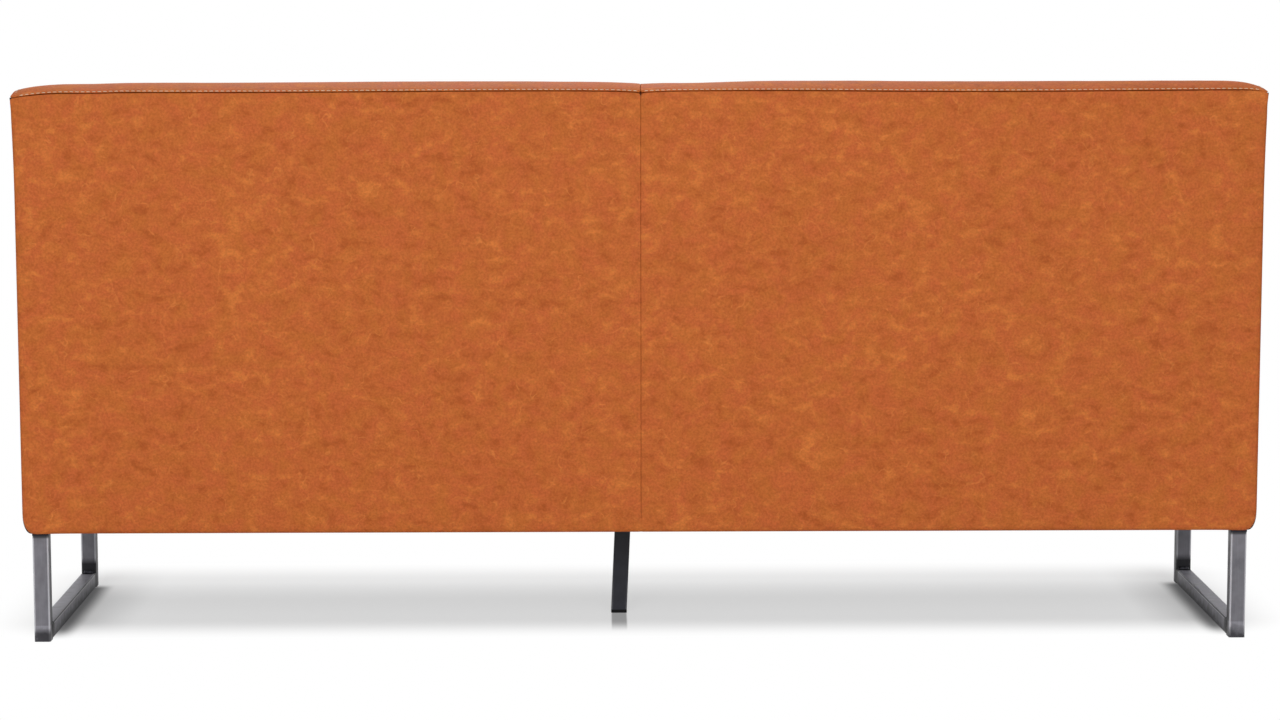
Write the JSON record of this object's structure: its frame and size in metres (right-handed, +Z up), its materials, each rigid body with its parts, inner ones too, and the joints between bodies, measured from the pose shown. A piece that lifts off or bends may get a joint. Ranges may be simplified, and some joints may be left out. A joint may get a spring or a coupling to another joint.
{
  "type": "kitchen bench",
  "caption": "Upholstered kitchen bench with a padded seat and upright back, on two square tube sled legs and a black centre support leg.",
  "frame": {"origin": "on the floor under the middle of the body", "axes": "+X along the bench, -Y towards the side people sit on, +Z up"},
  "size_m": [1.8, 0.58, 0.8175],
  "materials": {
    "cover": "cognac artificial leather, satin",
    "dust_sheet": "black non-woven",
    "foam": "cut polyurethane foam",
    "thin_foam": "thin polyurethane foam sheet",
    "felt": "needled felt",
    "webbing": "woven elastic webbing",
    "spring_wire": "oiled spring wire",
    "spring_clip": "zinc plated",
    "zinc_steel": "zinc plated",
    "black_screw": "black",
    "glide": "black, matte",
    "foot": "black, matte",
    "black_steel": "black powder coat",
    "strip_steel": "dark lacquer",
    "leg_steel": "gunmetal lacquer over bare steel",
    "hardboard": "pressed board",
    "timber": "sawn pine"
  },
  "bodies": {
    "root": {"back_centre_left_post": "timber", "back_centre_right_post": "timber", "back_foam_left": "foam", "back_foam_right": "foam", "back_left_middle_rail": "timber", "back_left_post": "timber", "back_liner": "hardboard", "back_right_middle_rail": "timber", "back_right_post": "timber", "back_top_rail": "timber", "back_webbing": "webbing", "base_centre_rail": "timber", "base_front_rail": "timber", "base_left_rail": "timber", "base_left_stretcher": "timber", "base_rear_rail": "timber", "base_right_rail": "timber", "base_right_stretcher": "timber", "centre_leg_block": "timber", "centre_leg_foot": "foot", "centre_leg_plate": "black_steel", "centre_leg_screws": "black_screw", "centre_leg_tube": "black_steel", "coach_screws": "zinc_steel", "dust_sheet": "dust_sheet", "front_border_left": "cover", "front_border_right": "cover", "front_corner_blocks": "timber", "front_padding": "thin_foam", "inside_back_cover_left": "cover", "inside_back_cover_right": "cover", "left_sled_floor_rail": "leg_steel", "left_sled_front_upright": "leg_steel", "left_sled_mount_strip": "strip_steel", "left_sled_rear_upright": "leg_steel", "outside_back_cover_left": "cover", "outside_back_cover_right": "cover", "outside_back_padding": "thin_foam", "post_bolts": "zinc_steel", "rail_screws": "zinc_steel", "right_sled_floor_rail": "leg_steel", "right_sled_front_upright": "leg_steel", "right_sled_mount_strip": "strip_steel", "right_sled_rear_upright": "leg_steel", "seat_cover_left": "cover", "seat_cover_right": "cover", "seat_end_cover_left": "cover", "seat_end_cover_right": "cover", "seat_felt": "felt", "seat_foam_left": "foam", "seat_foam_right": "foam", "seat_springs": "spring_wire", "side_cover_left": "cover", "side_cover_right": "cover", "side_padding_left": "thin_foam", "side_padding_right": "thin_foam", "sled_glides": "glide", "sled_welds": "leg_steel", "spring_clips": "spring_clip"}
  },
  "joints": []
}
